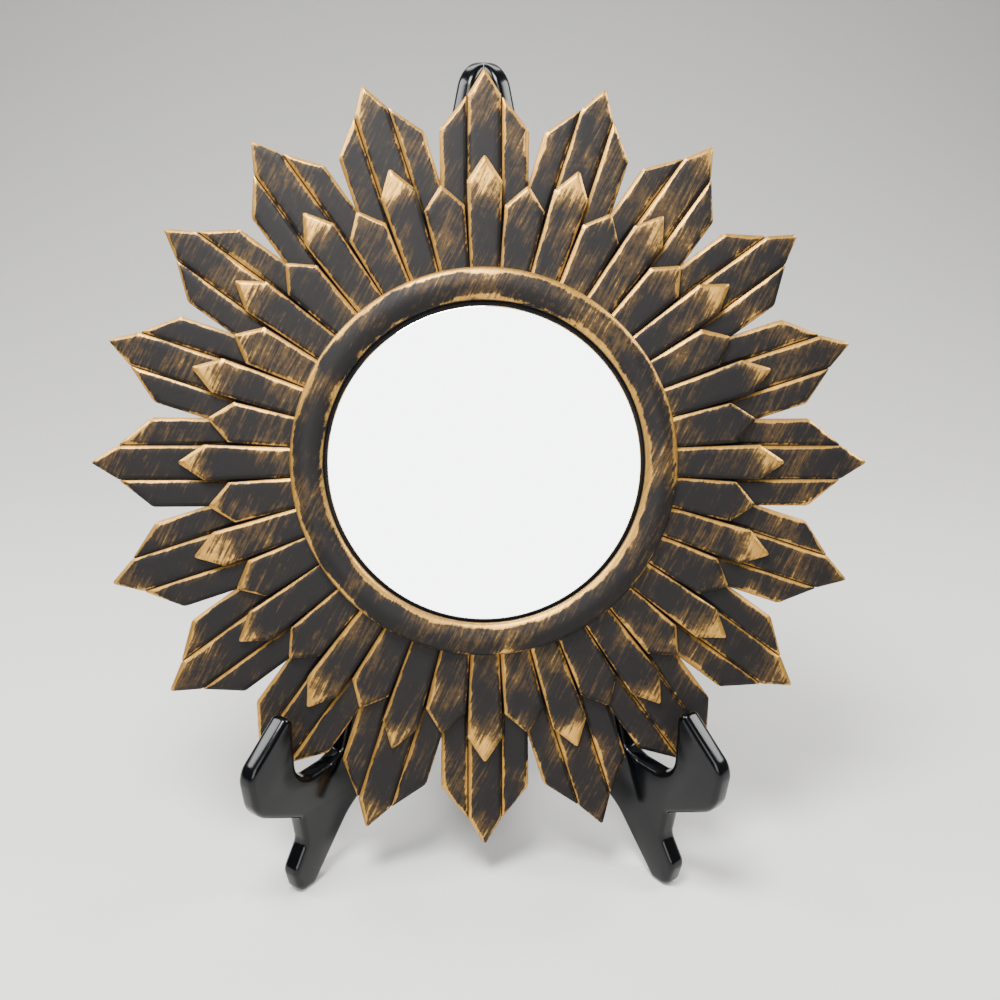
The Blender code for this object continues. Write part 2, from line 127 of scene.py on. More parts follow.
# Glass disc
GLASS_RADIUS = 50.6 * MM
GLASS_THICKNESS = 2.0 * MM
GLASS_FRONT = 3.8 * MM
GLASS_DROP = 0.4 * MM
GLASS_BEVEL = 0.5 * MM
GLASS_BEVEL_SEGMENTS = 2
GLASS_VERTICES = 192
GLASS_SMOOTHING = math.radians(20.0)

# Keyhole in the back
KEYHOLE_HEIGHT = 67.0 * MM
KEYHOLE_HEAD_RADIUS = 4.5 * MM
KEYHOLE_SLOT_WIDTH = 4.6 * MM
KEYHOLE_SLOT_LENGTH = 9.0 * MM
KEYHOLE_DEPTH = 3.0 * MM
KEYHOLE_LIP = 1.2 * MM
# The floors of the slot and of the room behind it lie short of the head hole's floor
KEYHOLE_STEP = 0.4 * MM
KEYHOLE_VERTICES = 48

# Easel plates: (reach, height, rounding) of each corner, anticlockwise from the rear foot
PLATE_THICKNESS = 6.4 * MM
PLATE_ROUNDING = 1.85 * MM
PLATE_SEGMENTS = 4
SHARP_PLATE_EDGE = math.radians(40.0)
PLATE_SMOOTHING = math.radians(30.0)
DEGREES_PER_SEGMENT = 7.0
# How much of a side a rounding may take up, where the side's other end is rounded too or not
SHARED_SIDE = 0.49
WHOLE_SIDE = 0.98
PLATE_CORNERS = [
    (-1.2, 0.0, 0.0),
    (14.0, 0.0, 2.0),
    (24.0, 23.0, 14.0),
    (77.1, 23.0, 23.0),
    (99.5, 0.0, 2.5),
    (106.4, 0.0, 3.8),
    (108.7, 9.0, 4.0),
    (102.9, 17.2, 4.0),
    (104.6, 27.4, 1.5),
    (123.0, 37.6, 9.0),
    (125.1, 52.4, 7.0),
    (108.3, 65.8, 2.0),
    (105.7, 63.2, 2.0),
    (105.7, 40.3, 15.0),
    (89.7, 40.3, 4.0),
    (84.0, 41.9, 2.0),
    (8.9, 258.0, 11.0),
    (-1.2, 258.0, 0.0),
]
WINDOW_CORNERS = [(11.0, 37.0, 5.0), (74.1, 37.0, 7.0), (11.0, 218.5, 3.0)]
MITRE_GAP = 0.15 * MM

# Camera, fitted to the photograph
LENS = 39.0
SENSOR = 36.0
CAMERA_PLACE = Vector((-10.08, 3.81, 351.70)) * MM
CAMERA_TURN = (math.radians(2.62), math.radians(2.45), math.radians(0.11))

# Light, in metres and watts: (name, place, size, power) of each softbox, which faces the mirror
SOFTBOXES = [
    ("key_softbox", (-0.12, -0.2, 0.64), (0.22, 0.22), 8.0),
    ("back_softbox", (0.0, 0.6, 0.95), (0.7, 0.3), 4.0),
    ("left_softbox", (-0.72, 0.05, 0.75), (0.35, 0.35), 7.0),
    ("right_softbox", (0.76, 0.07, 0.7), (0.35, 0.35), 7.0),
]
# The white panel that the glass shows, square on to the mirror and out in front of it
PANEL_MIDDLE = (-0.065, 0.22)
PANEL_DISTANCE = 1.2
PANEL_SIZE = (0.71, 0.96)
PANEL_POWER = 14.5
SURROUND_STRENGTH = 0.22

# Floor, which ends in a curve and a wall behind the object
FLOOR_SIZE = 80.0
FLOOR_BACK = 1.4
WALL_HEIGHT = 6.0
SWEEP_RADIUS = 1.0
SWEEP_SEGMENTS = 24


def mount_place(name):
    """The place and the direction of one of the record's mounts."""
    for mount in frame["record"]["mounts"]:
        if mount["name"] == name:
            return Vector(mount["pos_m"]), Vector(mount["axis"])
    raise ValueError("no mount named " + name)


def mirror_plane():
    """The transform from the mirror's own plane to where it stands."""
    axis = mount_place("keyhole_floor")[1]
    lean = math.asin(-axis.z)
    turn = Matrix.Rotation(math.pi / 2.0 - lean, 4, "X")
    low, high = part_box("mirror_glass")
    glass_centre = Vector((0.0, -GLASS_DROP, GLASS_FRONT - GLASS_THICKNESS / 2.0))
    centre = (low + high) / 2.0 - turn.to_3x3() @ glass_centre
    return Matrix.Translation(centre) @ turn


def easel_plane():
    """The easel's splay and the place of the line where its plates meet."""
    front = mount_place("front_foot_right")[0]
    rear = mount_place("rear_foot_right")[0]
    ahead = front - rear
    splay = math.atan2(ahead.x, -ahead.y)
    return splay, Vector((0.0, rear.y + rear.x / math.tan(splay), 0.0))


MIRROR_PLACE = mirror_plane()
SPLAY, EASEL_LINE = easel_plane()


# Modelling


def new_piece(name):
    """Names the primitive that was just added and opens it in edit mode."""
    piece = bpy.context.object
    piece.name = name
    piece.data.name = name
    bpy.ops.object.mode_set(mode="EDIT")
    return piece


def close_piece():
    """Leaves edit mode with nothing selected."""
    bpy.ops.object.mode_set(mode="OBJECT")
    bpy.ops.object.select_all(action="DESELECT")


def start():
    """Object mode, with nothing selected."""
    if bpy.context.object is not None and bpy.context.object.mode != "OBJECT":
        bpy.ops.object.mode_set(mode="OBJECT")
    bpy.ops.object.select_all(action="DESELECT")


def pick(kind, test):
    """Selects the open mesh's verts, edges or faces that pass a test, and no others."""
    bpy.ops.mesh.select_mode(type={"verts": "VERT", "edges": "EDGE", "faces": "FACE"}[kind])
    bpy.ops.mesh.select_all(action="DESELECT")
    mesh = bmesh.from_edit_mesh(bpy.context.object.data)
    for item in getattr(mesh, kind):
        if test(item):
            item.select_set(True)
    bmesh.update_edit_mesh(bpy.context.object.data)


def use_only(piece):
    """Makes one object the active and only selected one."""
    bpy.ops.object.select_all(action="DESELECT")
    piece.select_set(True)
    bpy.context.view_layer.objects.active = piece


def boolean(piece, other, operation):
    """Joins another solid to a piece, or cuts it out, and deletes the other."""
    use_only(piece)
    bpy.ops.object.modifier_add(type="BOOLEAN")
    modifier = piece.modifiers[-1]
    modifier.operation = operation
    modifier.solver = "EXACT"
    modifier.object = other
    bpy.ops.object.modifier_apply(modifier=modifier.name)
    bpy.data.objects.remove(other, do_unlink=True)


def cut_off(point, normal, fill):
    """Bisects the open mesh and clears what lies on the normal's side."""
    bpy.ops.mesh.select_all(action="SELECT")
    bpy.ops.mesh.bisect(
        plane_co=point, plane_no=normal, use_fill=fill, clear_outer=True, threshold=CUT_THRESHOLD
    )


def apply_place(piece):
    """Moves a piece's place, turn and scale into its mesh."""
    use_only(piece)
    bpy.ops.object.transform_apply(location=True, rotation=True, scale=True)


def smooth(piece, angle):
    """Shades a piece smooth, apart from edges sharper than the angle."""
    use_only(piece)
    bpy.ops.object.shade_smooth_by_angle(angle=angle)


def mark_wear(piece, edge_near):
    """Writes to a UV map where a dry brush reaches: U is the distance from the nearest edge in
    worn widths, and V is 1 where that edge stands free and 0 in a groove or down a wall."""
    mesh = piece.data
    while mesh.uv_layers:
        mesh.uv_layers.remove(mesh.uv_layers[0])
    layer = mesh.uv_layers.new(name="wear")
    for face in mesh.polygons:
        for index in face.loop_indices:
            distance, free = edge_near(mesh.vertices[mesh.loops[index].vertex_index].co)
            if abs(face.normal.z) < WALL_STEEPNESS:
                distance, free = 0.0, False
            layer.data[index].uv = (min(1.0, max(0.0, distance / WORN_WIDTH)), float(free))


def flat_bar(name, sides, grooves, low, top, rounded_beyond):
    """A bar cut from a block by its sides, with an edge that slopes down all round and soft
    corners. grooves are the numbers of the sides that meet a neighbouring bar."""
    start()
    height = top - SLOPE_DROP - low
    middle = (0.0, TIP_RADIUS / 2.0, low + height / 2.0)
    bpy.ops.mesh.primitive_cube_add(size=1.0, location=middle)
    bpy.context.object.scale = (TIP_RADIUS, TIP_RADIUS * 1.2, height)
    apply_place(bpy.context.object)
    bar = new_piece(name)
    for point, normal in sides:
        cut_off((*point, 0.0), (*normal, 0.0), True)
    pick("faces", lambda face: face.normal.z > LOOKS_UP)
    bpy.ops.mesh.inset(thickness=SLOPE_WIDTH, depth=SLOPE_DROP)
    bpy.ops.mesh.inset(thickness=WORN_WIDTH - SLOPE_WIDTH, depth=0.0)

    def edge_near(place):
        depths = [(Vector(point) - place.xy).dot(Vector(normal)) for point, normal in sides]
        nearest = min(range(len(sides)), key=lambda index: depths[index])
        return max(0.0, depths[nearest]), nearest not in grooves

    def on_corner(edge):
        first, second = (vert.co for vert in edge.verts)
        moves_in = abs(edge_near(first)[0] - edge_near(second)[0]) > TINY
        climbs = abs(first.z - second.z) > TINY
        return (climbs or moves_in) and min(first.y, second.y) > rounded_beyond

    def on_rim(edge):
        heights = [vert.co.z for vert in edge.verts]
        level = any(
            all(abs(height - rim) < TINY for height in heights) for rim in (top - SLOPE_DROP, top)
        )
        return level and edge.is_manifold and edge.calc_face_angle() > SHARP_RIM

    pick("edges", on_corner)
    bpy.ops.mesh.bevel(offset=CORNER_ROUNDING, segments=CORNER_SEGMENTS, affect="EDGES")
    pick("edges", on_rim)
    bpy.ops.mesh.bevel(offset=EDGE_SOFTNESS, segments=EDGE_SEGMENTS, affect="EDGES")
    close_piece()
    mark_wear(bar, edge_near)
    return bar


def side_between(first, second):
    """The side of an outline through two points, given clockwise: (point, outward normal)."""
    along = (Vector(second) - Vector(first)).normalized()
    return first, (-along.y, along.x)


def outline_sides(points):
    """The sides of a convex outline given by its points, clockwise."""
    return [side_between(points[index - 1], points[index]) for index in range(len(points))]


def pointed_outline(root, root_width, shoulder, shoulder_width, tip):
    """The outline of a bar with a pointed end, clockwise."""
    return [
        (-root_width / 2.0, root),
        (-shoulder_width / 2.0, shoulder),
        (0.0, tip),
        (shoulder_width / 2.0, shoulder),
        (root_width / 2.0, root),
    ]


def side_bar_outline(root):
    """The outline of a petal's right side bar, clockwise."""
    inner = MIDDLE_BAR_WIDTH / 2.0 - GROOVE_LAP
    outer = inner + SIDE_BAR_WIDTH
    foot = SLIT_FOOT * math.tan(HALF_SECTOR)
    slope = (outer - foot) / (SIDE_BAR_SHOULDER - SLIT_FOOT)
    return [
        (inner, root),
        (inner, SIDE_BAR_TIP),
        (outer, SIDE_BAR_SHOULDER),
        (foot + (root - SLIT_FOOT) * slope, root),
    ]


def ring_edge_near(place):
    """How far a point of the ring lies from its outer edge or the crest of its inner lip, and
    whether it is on the crest's outer side."""
    radius = place.xy.length
    nearer = min(RING_RADIUS - radius, radius - RING_LIP_CREST)
    return nearer * RING_WEAR_SPREAD, radius > RING_LIP_CREST - TINY


def disc(vertices, radius, low, top, y=0.0):
    """A new disc between two heights, with its place in its mesh."""
    start()
    bpy.ops.mesh.primitive_cylinder_add(
        vertices=vertices, radius=radius, depth=top - low, location=(0.0, y, (top + low) / 2.0)
    )
    apply_place(bpy.context.object)


def ring_blank(low):
    """The ring, the pocket for the glass and its floor, turned up from a disc by insets."""
    disc(RING_VERTICES, RING_RADIUS, low, RING_SHOULDER)
    ring = new_piece("ring")
    pick("faces", lambda face: face.normal.z > LOOKS_UP)
    height = RING_SHOULDER
    for inset, rise in RING_SECTION:
        bpy.ops.mesh.inset(thickness=inset, depth=rise)
        height += rise
    bpy.ops.mesh.inset(thickness=POCKET_WALL_INSET, depth=POCKET_FLOOR - height)
    close_piece()
    mark_wear(ring, ring_edge_near)
    return ring


def half_sector():
    """Half of one petal's share of the moulding, open where it meets its neighbours."""
    root = RING_RADIUS - ROOT_OVERLAP
    root_width = 2.0 * (root * math.tan(HALF_SECTOR / 2.0) + GROOVE_LAP)
    past_root = root + SHARP_ROOT
    depths = [
        -PETAL_THICKNESS - OVERSHOOT - OVERSHOOT_STEP * index for index in range(6)
    ]
    middle = outline_sides(pointed_outline(
        root, MIDDLE_BAR_WIDTH, MIDDLE_BAR_SHOULDER, MIDDLE_BAR_WIDTH, TIP_RADIUS
    ))
    long_sides = outline_sides(pointed_outline(
        root, root_width, LONG_BAR_SHOULDER, LONG_BAR_WIDTH, LONG_BAR_TIP
    ))
    short_sides = outline_sides(pointed_outline(
        root, root_width, SHORT_BAR_SHOULDER, SHORT_BAR_WIDTH, SHORT_BAR_TIP
    ))
    side_sides = outline_sides(side_bar_outline(root))

    # Side 0 of every bar is its root. A pointed bar's long sides are 1 and 4, and a side bar
    # meets the middle bar along its side 1
    along = (0, 1, 4)
    rise = INNER_TIER_RISE
    sector = flat_bar("middle_bar", middle, along, depths[1], 0.0, past_root)
    side = flat_bar("side_bar", side_sides, (0, 1), depths[2], 0.0, past_root)
    long_bar = flat_bar("long_bar", long_sides, along, depths[3], rise, past_root)
    short_bar = flat_bar("short_bar", short_sides, along, depths[4], rise, past_root)
    short_bar.rotation_euler.z = -HALF_SECTOR
    apply_place(short_bar)
    for part in (side, long_bar, short_bar, slit_web(depths[5]), ring_blank(depths[0])):
        boolean(sector, part, "UNION")

    use_only(sector)
    bpy.ops.object.mode_set(mode="EDIT")
    cut_off((0.0, 0.0, -PETAL_THICKNESS), (0.0, 0.0, -1.0), True)
    cut_off((0.0, 0.0, 0.0), (-1.0, 0.0, 0.0), False)
    cut_off((0.0, 0.0, 0.0), (math.cos(HALF_SECTOR), -math.sin(HALF_SECTOR), 0.0), False)
    close_piece()
    return sector


def slit_web(low):
    """The floor between neighbouring petals, which ends in the rounded foot of each slit."""
    disc(RING_VERTICES, SLIT_FOOT, low, -SLOPE_DROP)
    web = new_piece("web")
    close_piece()
    mark_wear(web, lambda place: (SLIT_FOOT - place.xy.length, True))
    return web


def sunburst():
    """The whole moulding: half a sector, mirrored and repeated round the centre."""
    whole = half_sector()
    whole.name = "sunburst_moulding"
    use_only(whole)
    bpy.ops.object.modifier_add(type="MIRROR")
    mirror = whole.modifiers[-1]
    mirror.use_axis = (True, False, False)
    mirror.merge_threshold = MERGE_THRESHOLD
    bpy.ops.object.modifier_apply(modifier=mirror.name)
    copies = []
    for index in range(1, PETAL_COUNT):
        use_only(whole)
        bpy.ops.object.duplicate()
        copy = bpy.context.object
        copy.rotation_euler.z = 2.0 * HALF_SECTOR * index
        apply_place(copy)
        copies.append(copy)
    use_only(whole)
    for copy in copies:
        copy.select_set(True)
    bpy.ops.object.join()
    merge_doubles(whole)
    cut_keyhole(whole)
    merge_doubles(whole)
    whole.data.uv_layers.remove(whole.data.uv_layers["UVMap"])
    lean_back(whole)
    smooth(whole, MOULDING_SMOOTHING)
    return whole


def merge_doubles(piece):
    """Merges the vertices that copies and cuts left on one another, and turns faces outward."""
    use_only(piece)
    bpy.ops.object.mode_set(mode="EDIT")
    bpy.ops.mesh.select_all(action="SELECT")
    bpy.ops.mesh.remove_doubles(threshold=MERGE_THRESHOLD)
    bpy.ops.mesh.normals_make_consistent(inside=False)
    close_piece()


def cut_keyhole(moulding):
    """Sinks the keyhole into the moulding's back: its head hole, its slot and the room behind."""
    back = -PETAL_THICKNESS
    floor = back + KEYHOLE_DEPTH
    disc(KEYHOLE_VERTICES, KEYHOLE_HEAD_RADIUS, back - KEYHOLE_DEPTH, floor, KEYHOLE_HEIGHT)
    boolean(moulding, bpy.context.object, "DIFFERENCE")
    slot_size = (KEYHOLE_SLOT_WIDTH, KEYHOLE_SLOT_LENGTH, KEYHOLE_DEPTH * 2.0 - KEYHOLE_STEP)
    room_size = (
        2.0 * KEYHOLE_HEAD_RADIUS,
        KEYHOLE_SLOT_LENGTH + KEYHOLE_HEAD_RADIUS / 2.0,
        KEYHOLE_DEPTH - KEYHOLE_LIP - KEYHOLE_STEP,
    )
    room_middle = (back + KEYHOLE_LIP + floor - KEYHOLE_STEP) / 2.0
    for size, middle in ((slot_size, back), (room_size, room_middle)):
        start()
        place = (0.0, KEYHOLE_HEIGHT + size[1] / 2.0, middle)
        bpy.ops.mesh.primitive_cube_add(size=1.0, location=place)
        block = bpy.context.object
        block.scale = size
        boolean(moulding, block, "DIFFERENCE")


def lean_back(piece):
    """Turns a piece from the mirror's plane to where it stands."""
    piece.matrix_world = MIRROR_PLACE
    apply_place(piece)


def glass_disc():
    """The silvered glass: a disc with a fine bevel round its front."""
    disc(GLASS_VERTICES, GLASS_RADIUS, GLASS_FRONT - GLASS_THICKNESS, GLASS_FRONT, -GLASS_DROP)
    glass = new_piece("silvered_glass")
    pick("edges", lambda edge: all(abs(vert.co.z - GLASS_FRONT) < TINY for vert in edge.verts))
    bpy.ops.mesh.bevel(offset=GLASS_BEVEL, segments=GLASS_BEVEL_SEGMENTS, affect="EDGES")
    close_piece()
    lean_back(glass)
    smooth(glass, GLASS_SMOOTHING)
    return glass


def plate_face(name, corners, depth):
    """A flat plate over an outline of (reach, height, rounding) corners, in millimetres."""
    start()
    bpy.ops.mesh.primitive_circle_add(vertices=len(corners), radius=1.0, fill_type="NGON")
    plate = new_piece(name)
    bpy.ops.object.mode_set(mode="OBJECT")
    for vert, (reach, height, _) in zip(plate.data.vertices, corners):
        vert.co = (reach * MM, height * MM, -depth / 2.0)
    bpy.ops.object.mode_set(mode="EDIT")
    for index, corner in enumerate(corners):
        if corner[2] > 0.0:
            round_corner(corners, index)
    bpy.ops.mesh.select_mode(type="FACE")
    bpy.ops.mesh.select_all(action="SELECT")
    bpy.ops.mesh.extrude_region_move(TRANSFORM_OT_translate={"value": (0.0, 0.0, depth)})
    bpy.ops.mesh.select_all(action="SELECT")
    bpy.ops.mesh.normals_make_consistent(inside=False)
    close_piece()
    return plate


def room_along(side, other_end):
    """How much of a side a rounding may take up, by whether its other end is rounded too."""
    return side.length * (SHARED_SIDE if other_end[2] > 0.0 else WHOLE_SIDE)


def round_corner(corners, index):
    """Rounds one corner of the open plate to its radius."""
    reach, height, rounding = corners[index]
    previous = corners[index - 1]
    following = corners[(index + 1) % len(corners)]
    corner = Vector((reach, height))
    before = Vector(previous[:2]) - corner
    after = Vector(following[:2]) - corner
    half_angle = before.angle(after) / 2.0
    room = min(room_along(before, previous), room_along(after, following))
    tangent = min(rounding / math.tan(half_angle), room)
    turn = math.degrees(math.pi - 2.0 * half_angle)
    segments = max(3, round(turn / DEGREES_PER_SEGMENT))
    place = corner * MM
    pick("verts", lambda vert: (vert.co.xy - place).length < TINY)
    bpy.ops.mesh.bevel(offset=tangent * MM, segments=segments, affect="VERTICES")


def easel_half(name, side):
    """One plate of the easel. side is -1 for the left half and 1 for the right."""
    plate = plate_face(name, PLATE_CORNERS, PLATE_THICKNESS)
    window = plate_face("window", WINDOW_CORNERS, PLATE_THICKNESS * 2.0)
    boolean(plate, window, "DIFFERENCE")
    use_only(plate)
    bpy.ops.object.mode_set(mode="EDIT")
    pick("edges", lambda edge: edge.calc_face_angle() > SHARP_PLATE_EDGE)
    bpy.ops.mesh.bevel(
        offset=PLATE_ROUNDING, segments=PLATE_SEGMENTS, affect="EDGES", clamp_overlap=False
    )
    mitre = (MITRE_GAP / math.sin(SPLAY), 0.0, 0.0)
    cut_off(mitre, (-math.sin(SPLAY), 0.0, side * math.cos(SPLAY)), True)
    close_piece()
    smooth(plate, PLATE_SMOOTHING)
    plate.rotation_euler = (math.pi / 2.0, 0.0, -math.pi / 2.0 + side * SPLAY)
    plate.location = EASEL_LINE
    apply_place(plate)
    return plate


# Finishes


# Brush marks are under half a millimetre wide, and are drawn wider so that they show
STROKE_TURN = math.radians(27.0)
STROKE_SIZE = (0.8 * MM, 11.0 * MM, 2.0 * MM)
PATCH_SIZE = (18.0 * MM, 18.0 * MM, 4.0 * MM)
# The paint's grit is finer than the render shows, and is drawn as coarse as it needs
SPECK_SIZE = 1.1 * MM
PAINT_RELIEF = 0.05 * MM
PAINT_RELIEF_STRENGTH = 0.6

# More gold up the mirror and to its right, on the ring and on the tips of both tiers, and on
# slopes that face up and to the left: towards the left that is the brush's direction, and
# upwards it is painted light on the lit side, which leaves the slopes that face down black as
# painted shade
COVER_SLOPE = (0.35, 0.65, 0.0)
BRUSHED_AND_LIT_SIDE = (-0.36, 0.5, 0.0)
RING_COVER = 0.08
INNER_TIP_COVER = 1.6
OUTER_TIP_COVER = 0.48
INNER_TIP_START = 0.85 * LONG_BAR_TIP
OUTER_TIP_START = 0.9 * TIP_RADIUS
UPPER_TIER = (0.3 * MM, 0.9 * MM)

# The gold band on an edge, in worn widths, and how much of the cover reaches it and the face
FREE_BAND = 0.28
GROOVE_BAND = 0.24
EDGE_COVER_SHARE = 0.8
BESIDE_EDGE = 0.3
BRUSH_REACH = (0.06, 0.13)

# How much strokes, patches and specks break up the band and the faces, and the range over
# which each goes from black to gold
EDGE_WEIGHTS = (0.5, 1.9, 0.25)
FACE_WEIGHTS = (2.4, 3.0, 0.7)
BAND_RANGE = (-0.12, 0.14)
SOLID_RANGE = (0.6, 1.25)
SOLID_MOST = 0.9
HAZE_RANGE = (-0.05, 0.8)
HAZE_MOST = 0.11

GOLD_METALLIC = 0.85
BLACK_ROUGHNESS = (0.5, 0.66)
GOLD_ROUGHNESS_CHANGE = -0.16

# The unevenness that a mould leaves in gloss plastic
WAVE_SIZE = 22.0 * MM
WAVE_RELIEF = 0.03 * MM
WAVE_STRENGTH = 0.5
GLOSS_ROUGHNESS = (0.12, 0.22)


def srgb(code):
    """A colour given as an sRGB hex value, made linear."""
    channels = [int(code[index:index + 2], 16) / 255.0 for index in (0, 2, 4)]
    linear = [c / 12.92 if c <= 0.04045 else ((c + 0.055) / 1.055) ** 2.4 for c in channels]
    return (*linear, 1.0)


def add_node(material, kind, inputs=None, **settings):
    """Adds a node with its settings. An input is a value, or (node, output) to link."""
    tree = material.node_tree
    node = tree.nodes.new(kind)
    for key, value in settings.items():
        setattr(node, key, value)
    for key, value in (inputs or {}).items():
        if isinstance(value, tuple) and len(value) == 2 and isinstance(value[0], bpy.types.Node):
            tree.links.new(value[0].outputs[value[1]], node.inputs[key])
        else:
            node.inputs[key].default_value = value
    return node


def new_material(name, **values):
    """A material with its shader's plain values set."""
    material = bpy.data.materials.new(name)
    material.use_nodes = True
    shader = material.node_tree.nodes["Principled BSDF"]
    for key, value in values.items():
        shader.inputs[key.replace("_", " ")].default_value = value
    return material, shader


def add_links(material, shader, sources):
    """Links nodes' outputs to the shader's sockets."""
    for socket, (source, output) in sources.items():
        material.node_tree.links.new(source.outputs[output], shader.inputs[socket])


def moulding_places(material):
    """A point's place in the mirror's plane, its wear, and how far it faces up and to the left,
    which raises the gold as the brush's direction and as painted light.
    """
    place = add_node(material, "ShaderNodeTexCoord")
    lie_flat = MIRROR_PLACE.inverted()
    plane = add_node(material, "ShaderNodeMapping", {
        "Vector": (place, "Object"),
        "Rotation": lie_flat.to_euler(),
        "Location": lie_flat.translation,
    })
    wear = add_node(material, "ShaderNodeSeparateXYZ", {0: (place, "UV")})
    facing = add_node(material, "ShaderNodeMapping", {
        "Vector": (place, "Normal"), "Rotation": lie_flat.to_euler(),
    }, vector_type="VECTOR")
    # How far a surface faces up and to the left: the brush's side, and the lit side whose extra
    # gold is painted light
    to_brush_and_light = add_node(material, "ShaderNodeVectorMath", {
        0: (facing, "Vector"), 1: BRUSHED_AND_LIT_SIDE,
    }, operation="DOT_PRODUCT")
    return plane, wear, to_brush_and_light


def brush_textures(material, plane):
    """The strokes, the patches and the specks of the paint."""
    along_strokes = add_node(material, "ShaderNodeMapping", {
        "Vector": (plane, "Vector"), "Rotation": (0.0, 0.0, -STROKE_TURN), "Scale": STROKE_SIZE,
    }, vector_type="TEXTURE")
    strokes = add_node(material, "ShaderNodeTexNoise", {
        "Vector": (along_strokes, "Vector"),
        "Scale": 1.0, "Detail": 5.0, "Roughness": 0.62, "Distortion": 0.4,
    })
    over_patches = add_node(material, "ShaderNodeMapping", {
        "Vector": (plane, "Vector"), "Scale": PATCH_SIZE,
    }, vector_type="TEXTURE")
    patches = add_node(material, "ShaderNodeTexNoise", {
        "Vector": (over_patches, "Vector"), "Scale": 1.0, "Detail": 5.0, "Roughness": 0.6,
    })
    specks = add_node(material, "ShaderNodeTexNoise", {
        "Vector": (plane, "Vector"), "Scale": 1.0 / SPECK_SIZE, "Detail": 3.0, "Roughness": 0.6,
    })
    return strokes, patches, specks


def tiers(material, plane):
    """A point's height, its distance from the centre, and whether it is on the upper tier."""
    height = add_node(material, "ShaderNodeSeparateXYZ", {0: (plane, "Vector")})
    level = add_node(material, "ShaderNodeVectorMath", {
        0: (plane, "Vector"), 1: (1.0, 1.0, 0.0),
    }, operation="MULTIPLY")
    radius = add_node(material, "ShaderNodeVectorMath", {
        0: (level, "Vector"),
    }, operation="LENGTH")
    upper = add_node(material, "ShaderNodeMapRange", {
        "Value": (height, "Z"), "From Min": UPPER_TIER[0], "From Max": UPPER_TIER[1],
    })
    return height, radius, upper


def tip_cover(material, radius, upper):
    """More gold towards the tips of both tiers."""
    inner = add_node(material, "ShaderNodeMapRange", {
        "Value": (radius, "Value"),
        "From Min": INNER_TIP_START, "From Max": LONG_BAR_TIP, "To Max": INNER_TIP_COVER,
    })
    outer = add_node(material, "ShaderNodeMapRange", {
        "Value": (radius, "Value"),
        "From Min": OUTER_TIP_START, "From Max": TIP_RADIUS, "To Max": OUTER_TIP_COVER,
    })
    return add_node(material, "ShaderNodeMath", {
        0: (inner, "Result"), 1: (upper, "Result"), 2: (outer, "Result"),
    }, operation="MULTIPLY_ADD")


def side_cover(material, plane, height, to_brush_and_light):
    """More gold up the mirror, on the ring and on slopes that face up and to the left, the
    brush's side and the lit side, whose extra gold there is painted light.
    """
    across = add_node(material, "ShaderNodeVectorMath", {
        0: (plane, "Vector"), 1: COVER_SLOPE,
    }, operation="DOT_PRODUCT")
    on_ring = add_node(material, "ShaderNodeMapRange", {
        "Value": (height, "Z"),
        "From Min": INNER_TIER_RISE, "From Max": RING_SHOULDER, "To Max": RING_COVER,
    })
    with_ring = add_node(material, "ShaderNodeMath", {
        0: (across, "Value"), 1: (on_ring, "Result"),
    }, operation="ADD")
    # Slopes that face up and to the left take more gold, partly as painted light
    return add_node(material, "ShaderNodeMath", {
        0: (with_ring, "Value"), 1: (to_brush_and_light, "Value"),
    }, operation="ADD")


def broken_up(material, amount, textures, weights):
    """An amount of gold, raised and lowered by textures of a mean of a half."""
    for texture, weight in zip(textures, weights):
        centred = add_node(material, "ShaderNodeMath", {
            0: (texture, "Fac"), 1: weight, 2: -0.5 * weight,
        }, operation="MULTIPLY_ADD")
        amount = add_node(material, "ShaderNodeMath", {
            0: (amount, "Value"), 1: (centred, "Value"),
        }, operation="ADD")
    return amount


def gold_on_edges(material, wear, cover, textures):
    """A band of gold along each edge, of uneven width."""
    band = add_node(material, "ShaderNodeMapRange", {
        "Value": (wear, "Y"), "To Min": GROOVE_BAND, "To Max": FREE_BAND,
    })
    into_band = add_node(material, "ShaderNodeMath", {
        0: (band, "Result"), 1: (wear, "X"),
    }, operation="SUBTRACT")
    start_of_edge = add_node(material, "ShaderNodeMath", {
        0: (cover, "Value"), 1: EDGE_COVER_SHARE, 2: (into_band, "Value"),
    }, operation="MULTIPLY_ADD")
    amount = broken_up(material, start_of_edge, textures, EDGE_WEIGHTS)
    return add_node(material, "ShaderNodeMapRange", {
        "Value": (amount, "Value"), "From Min": BAND_RANGE[0], "From Max": BAND_RANGE[1],
    }, interpolation_type="SMOOTHSTEP")


def gold_on_faces(material, wear, cover, on_tips, textures):
    """Loose strokes of gold on the faces, with a thin haze of it round them."""
    near_edge = add_node(material, "ShaderNodeMapRange", {
        "Value": (wear, "X"), "To Min": BESIDE_EDGE, "To Max": 0.0,
    })
    beside_edge = add_node(material, "ShaderNodeMath", {
        0: (near_edge, "Result"), 1: (cover, "Value"),
    }, operation="ADD")
    start_of_face = add_node(material, "ShaderNodeMath", {
        0: (beside_edge, "Value"), 1: (on_tips, "Value"),
    }, operation="ADD")
    amount = broken_up(material, start_of_face, textures, FACE_WEIGHTS)
    solid = add_node(material, "ShaderNodeMapRange", {
        "Value": (amount, "Value"),
        "From Min": SOLID_RANGE[0], "From Max": SOLID_RANGE[1], "To Max": SOLID_MOST,
    }, interpolation_type="SMOOTHSTEP")
    haze = add_node(material, "ShaderNodeMapRange", {
        "Value": (amount, "Value"),
        "From Min": HAZE_RANGE[0], "From Max": HAZE_RANGE[1], "To Max": HAZE_MOST,
    }, interpolation_type="SMOOTHSTEP")
    return add_node(material, "ShaderNodeMath", {
        0: (solid, "Result"), 1: (haze, "Result"),
    }, operation="ADD")


